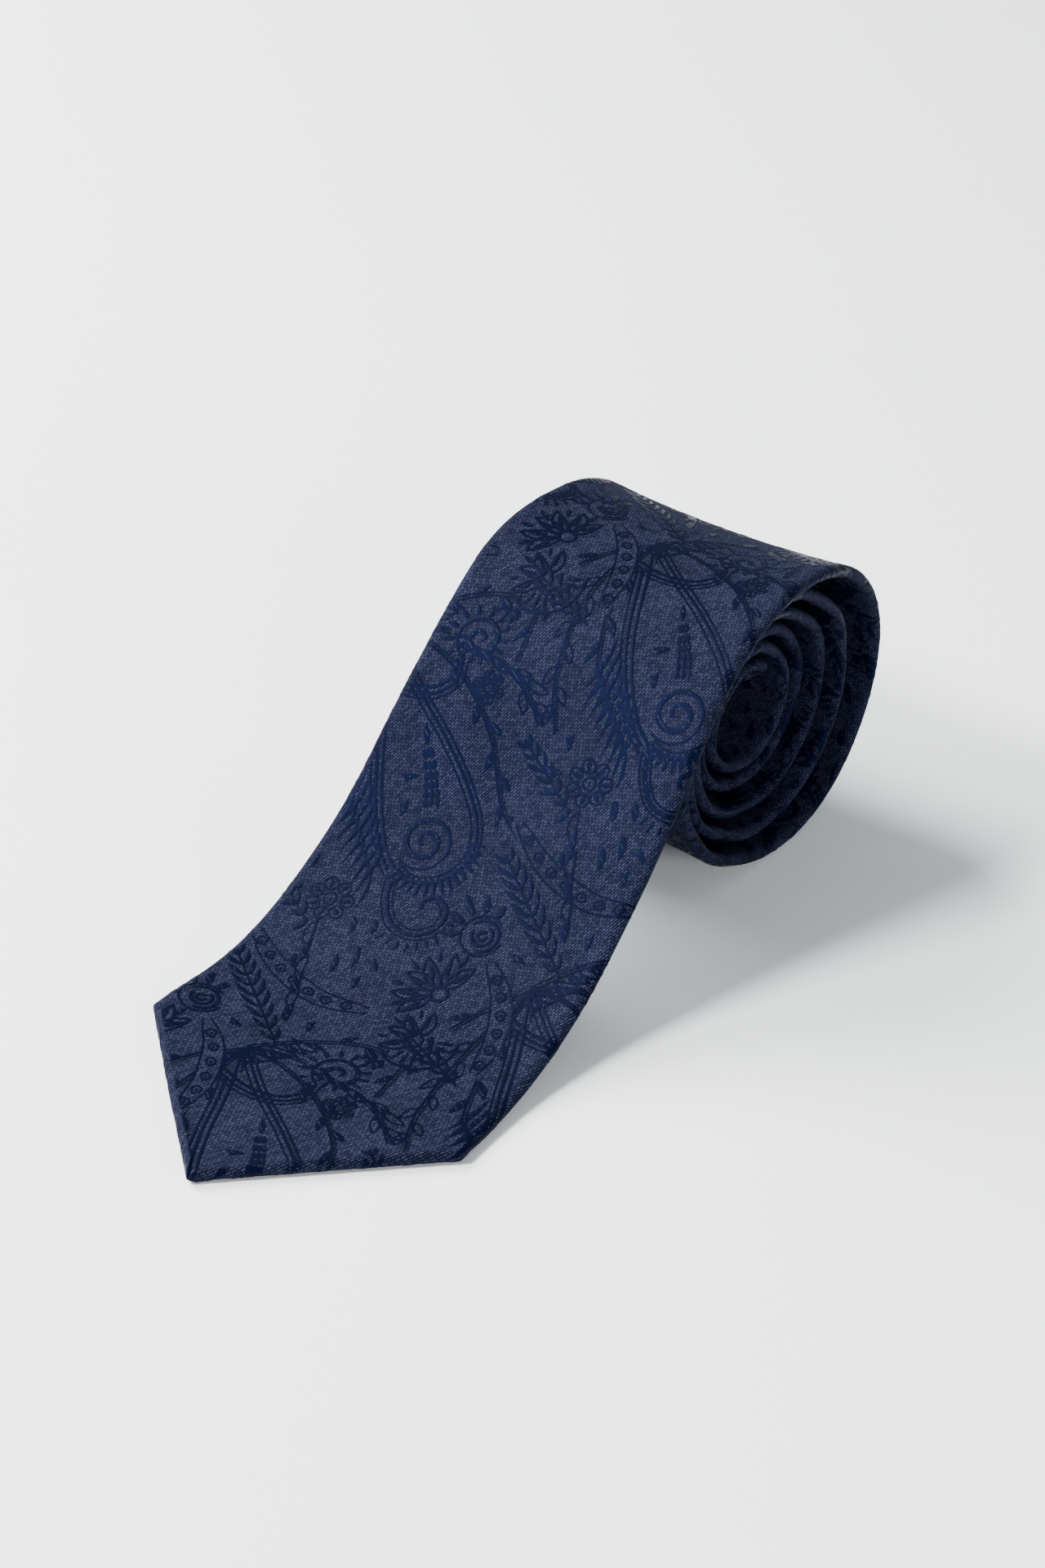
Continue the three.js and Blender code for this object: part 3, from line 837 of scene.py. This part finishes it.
def surface(owner, **sockets):
    shader = node(owner, "ShaderNodeBsdfPrincipled", None, **sockets)
    node(owner, "ShaderNodeOutputMaterial", None, Surface=shader.outputs[0])
    return owner


print("navy in linear light:", [round(c, 3) for c in srgb("#232f55")])

# %% Jacquard silk: twill ground and satin figure
TWILL_TURN = math.radians(-26)
FLOAT_LENGTH, FLOAT_ROW = 1.25, 0.66  # mm; real rows are about 0.45, drawn coarser so that they show
SATIN_ROW, BINDING_STEP = 0.42, 1.9


def jacquard_silk():
    silk = material("jacquard_silk")
    flat = attribute(silk, "flat_cloth", "Vector")
    raised = attribute(silk, "floats", "Fac")
    turned_flat = node(silk, "ShaderNodeMapping", None, Vector=flat, Rotation=(0, 0, TWILL_TURN)).outputs[0]
    wander = node(silk, "ShaderNodeTexNoise", None, Vector=flat, Scale=0.35, Detail=2.0)
    nudged = node(silk, "ShaderNodeVectorMath", {"operation": "MULTIPLY_ADD"}, _0=wander.outputs["Color"],
                  _1=(0.5, 0.5, 0), _2=turned_flat).outputs[0]
    twill = node(silk, "ShaderNodeTexBrick", {"offset": 0.37, "offset_frequency": 2}, Vector=nudged,
                 Scale=1.0, Color1=srgb("#25283a"), Color2=srgb("#141727"), Mortar=srgb("#020309"),
                 Mortar_Size=0.15, Mortar_Smooth=0.7, Brick_Width=FLOAT_LENGTH, Row_Height=FLOAT_ROW)
    along_floats = node(silk, "ShaderNodeMapping", None, Vector=flat, Rotation=(0, 0, math.radians(48)))
    satin = node(silk, "ShaderNodeTexWave", {"wave_profile": "SIN"}, Vector=along_floats.outputs[0],
                 Scale=0.314 / SATIN_ROW, Distortion=0.6, Detail=1.0)
    satin_colour = blend_colour(silk, satin.outputs["Fac"], srgb("#02040e"), srgb("#070b20"))
    # Long floats would snag, so a binding thread crosses wide areas at regular steps.
    across_floats = node(silk, "ShaderNodeMapping", None, Vector=flat, Rotation=(0, 0, math.radians(-33)))
    binding = node(silk, "ShaderNodeTexWave", {"wave_profile": "SIN"}, Vector=across_floats.outputs[0],
                   Scale=0.314 / BINDING_STEP, Distortion=1.2, Detail=1.0)
    bound = node(silk, "ShaderNodeMapRange", {"interpolation_type": "SMOOTHSTEP"}, _0=binding.outputs["Fac"],
                 _1=0.86, _2=0.97).outputs[0]
    inside = node(silk, "ShaderNodeMapRange", {"interpolation_type": "SMOOTHSTEP"}, _0=raised, _1=0.30,
                  _2=0.46).outputs[0]
    raised = sums(silk, "MULTIPLY_ADD", sums(silk, "MULTIPLY", bound, inside), -1.1, raised)
    # The edge of a float steps from thread to thread, and its rim is painted darker: painted shade for the
    # small shadow it lies in.
    stepped = sums(silk, "MULTIPLY_ADD", satin.outputs["Fac"], 0.10, raised)
    is_float = node(silk, "ShaderNodeMapRange", {"interpolation_type": "SMOOTHSTEP"}, _0=stepped, _1=0.0,
                    _2=0.10).outputs[0]
    cloudy = node(silk, "ShaderNodeTexNoise", None, Vector=flat, Scale=0.06, Detail=3.0).outputs["Fac"]
    colour = blend_colour(silk, is_float, twill.outputs["Color"], satin_colour)
    shade = node(silk, "ShaderNodeMapRange", None, _0=cloudy, _1=0.3, _2=0.7, _3=0.86, _4=1.1).outputs[0]
    colour = blend_colour(silk, 1.0, colour, shade, "MULTIPLY")
    from_edge = sums(silk, "ABSOLUTE", raised)
    # painted shade: near the edge of each float the colour is blended towards near-black
    rim = node(silk, "ShaderNodeMapRange", {"interpolation_type": "SMOOTHSTEP"}, _0=from_edge, _1=0.14,
               _2=0.0, _3=0.0, _4=0.65).outputs[0]
    colour = blend_colour(silk, rim, colour, srgb("#02040b"))
    rough = node(silk, "ShaderNodeMapRange", None, _0=is_float, _3=0.78, _4=0.32).outputs[0]
    ground = sums(silk, "SUBTRACT", 1.0, twill.outputs["Fac"])
    height = node(silk, "ShaderNodeMix", None, _0=is_float, _2=ground, _3=satin.outputs["Fac"]).outputs[0]
    bump = node(silk, "ShaderNodeBump", None, Strength=0.8, Distance=0.00003, Height=height)
    return surface(silk, Base_Color=colour, Roughness=rough, IOR=1.54, Normal=bump.outputs[0],
                   Specular_IOR_Level=0.024, Specular_Tint=srgb("#6a84f2"))


silk_cloth = jacquard_silk()
print("made", silk_cloth.name)

# %% [markdown]
# The lining is a plain, dense silk in a darker navy. The interlining is undyed wool, brushed until it is
# fuzzy, so it is quite matt. The thread is a twisted silk, and its ply shows as slanted light and dark bands.

# %% Lining silk, brushed wool and sewing thread
def lining_silk():
    lining = material("lining_silk")
    flat = attribute(lining, "flat_cloth", "Vector")
    weave = node(lining, "ShaderNodeTexBrick", {"offset": 0.5}, Vector=flat, Scale=1.0,
                 Color1=srgb("#10172e"), Color2=srgb("#151d38"), Mortar=srgb("#090e20"), Mortar_Size=0.06,
                 Mortar_Smooth=0.8, Brick_Width=0.9, Row_Height=0.5)
    creases = node(lining, "ShaderNodeTexNoise", None, Vector=flat, Scale=0.09, Detail=2.0).outputs["Fac"]
    height = sums(lining, "MULTIPLY_ADD", creases, 4.0, weave.outputs["Fac"])
    bump = node(lining, "ShaderNodeBump", None, Strength=0.5, Distance=0.0001, Height=height)
    rough = node(lining, "ShaderNodeMapRange", None, _0=creases, _3=0.46, _4=0.62).outputs[0]
    return surface(lining, Base_Color=weave.outputs["Color"], Roughness=rough, IOR=1.54,
                   Normal=bump.outputs[0], Specular_IOR_Level=0.05, Specular_Tint=srgb("#6a7ad0"))


def brushed_wool():
    wool = material("brushed_wool")
    flat = attribute(wool, "flat_cloth", "Vector")
    fuzz = node(wool, "ShaderNodeTexNoise", None, Vector=flat, Scale=1.6, Detail=6.0).outputs["Fac"]
    colour = blend_colour(wool, fuzz, srgb("#cfc7b4"), srgb("#efe9da"))
    bump = node(wool, "ShaderNodeBump", None, Strength=0.6, Distance=0.0003, Height=fuzz)
    rough = node(wool, "ShaderNodeMapRange", None, _0=fuzz, _3=0.9, _4=1.0).outputs[0]
    return surface(wool, Base_Color=colour, Roughness=rough, Normal=bump.outputs[0], Sheen_Weight=0.3)


def sewing_thread():
    floss = material("sewing_thread")
    at = node(floss, "ShaderNodeTexCoord").outputs["Object"]
    ply = node(floss, "ShaderNodeTexWave", {"bands_direction": "DIAGONAL"}, Vector=at, Scale=420.0,
               Distortion=1.5).outputs["Fac"]
    colour = blend_colour(floss, ply, srgb("#141c38"), srgb("#2d3966"))
    bump = node(floss, "ShaderNodeBump", None, Strength=0.6, Distance=0.0001, Height=ply)
    rough = node(floss, "ShaderNodeMapRange", None, _0=ply, _3=0.55, _4=0.40).outputs[0]
    return surface(floss, Base_Color=colour, Roughness=rough, IOR=1.54, Normal=bump.outputs[0])


lining_cloth, wool_cloth, floss = lining_silk(), brushed_wool(), sewing_thread()
finishes = [([*silk_lengths.values(), keeper_band], silk_cloth, "jacquard_silk"),
            (interlining_lengths.values(), wool_cloth, "wool_interlining"),
            (tippings.values(), lining_cloth, "tipping_silk"),
            ([*stitches.values(), *tacks.values(), *keeper_stitches], floss, "sewing_thread")]
for made_pieces, finish_material, slot_name in finishes:
    for piece in made_pieces:
        piece.data.materials.append(finish_material)
print("materials:", len(bpy.data.materials))

# %% [markdown]
# ## What moves with what
# The blade bends up at the crest of the roll, and its point bends up where it leaves the table. Cloth has no
# hinge; the lengths that cross those places are fixed where they lie, and the rest ride on their bodies.

# %% Bodies and the solids that the cloth stands for
rides = {"front_blade": ["silk_blade", "stitch_blade", "tack_wide", "keeper_band", "keeper_stitch_left",
                         "keeper_stitch_right"],
         "roll": ["silk_outer_coil", "silk_second_coil", "silk_neck", "silk_tail", "wool_coil", "lining_tail",
                  "stitch_coil", "tack_tail"]}
for body, names in rides.items():
    for name in names:
        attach(bpy.data.objects[name], body)
for name in ("silk_point", "wool_point", "lining_point"):
    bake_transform(bpy.data.objects[name], "front_blade", "blade_tip",
             start=place(80.0, 0.0, 0.0).tolist(), end=place(36.0, 0.0, 0.0).tolist())
for name in ("silk_crest", "wool_crest", "stitch_crest"):
    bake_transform(bpy.data.objects[name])
stands_for = {
    "silk_point": ["shell_wide_tip"], "silk_blade": ["shell_wide_front"],
    "silk_outer_coil": ["shell_wide_roll"], "silk_neck": ["shell_neck"], "silk_tail": ["shell_tail"],
    "wool_point": ["interlining_tip"], "wool_crest": ["interlining_front"],
    "wool_coil": ["interlining_roll"], "lining_point": ["tipping_wide_tip", "tipping_wide_front"],
    "lining_tail": ["tipping_tail"], "stitch_blade": ["slip_stitch_front"],
    "stitch_coil": ["slip_stitch_roll"], "tack_wide": ["bar_tack_wide"], "tack_tail": ["bar_tack_tail"],
    "keeper_band": ["keeper_loop"],
}
for name, nodes in stands_for.items():
    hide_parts(*nodes)
print("solids replaced:", sum(len(v) for v in stands_for.values()))


# %% [markdown]
# ## Table and light
# The tie lies on a pale matt table. A broad soft light on the left throws the shadow to the right and leaves
# the coiled end in shade. A smaller one at the front left makes the floats shine on the slope of the blade, a
# weak one on the right opens up the coils a little, and a pale sky fills the rest.

# %% Table
bpy.ops.mesh.primitive_plane_add(size=16, location=(0, 0, -0.0003))
table = bpy.context.object
table.name = "table"
paper = material("pale_paper")
spot = node(paper, "ShaderNodeTexCoord").outputs["Object"]
mottle = node(paper, "ShaderNodeTexNoise", None, Vector=spot, Scale=3.0, Detail=3.0).outputs["Fac"]
surface(paper, Base_Color=blend_colour(paper, mottle, srgb("#dfe3e6"), srgb("#e8eaec")), Roughness=0.85,
        Specular_IOR_Level=0.2)
table.data.materials.append(paper)
table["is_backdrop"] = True

# %% Lights
world = bpy.data.worlds.new("pale_sky")
bpy.context.scene.world = world
world.use_nodes = True
world.node_tree.nodes["Background"].inputs[0].default_value = srgb("#eef2f6")
world.node_tree.nodes["Background"].inputs[1].default_value = 0.50


def softbox(name, where, towards, across, power):
    light = bpy.data.lights.new(name, "AREA")
    light.shape, light.size, light.energy = "DISK", across, power
    made = bpy.data.objects.new(name, light)
    bpy.context.scene.collection.objects.link(made)
    made.location = where
    made.rotation_euler = (Vector(towards) - Vector(where)).to_track_quat("-Z", "Y").to_euler()
    return made


softbox("key_light", (-0.62, -0.80, 0.95), (0, 0, 0.04), 0.36, 54)
softbox("side_light", (-1.35, 0.15, 1.05), (0, 0.1, 0.04), 1.2, 108)
softbox("end_light", (1.10, -0.25, 0.30), (0.04, 0.07, 0.04), 0.5, 15)

# %% Sizes, and finish
low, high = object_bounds()
print("visual box, mm:", [round((b - a) * 1000, 1) for a, b in zip(low, high)])
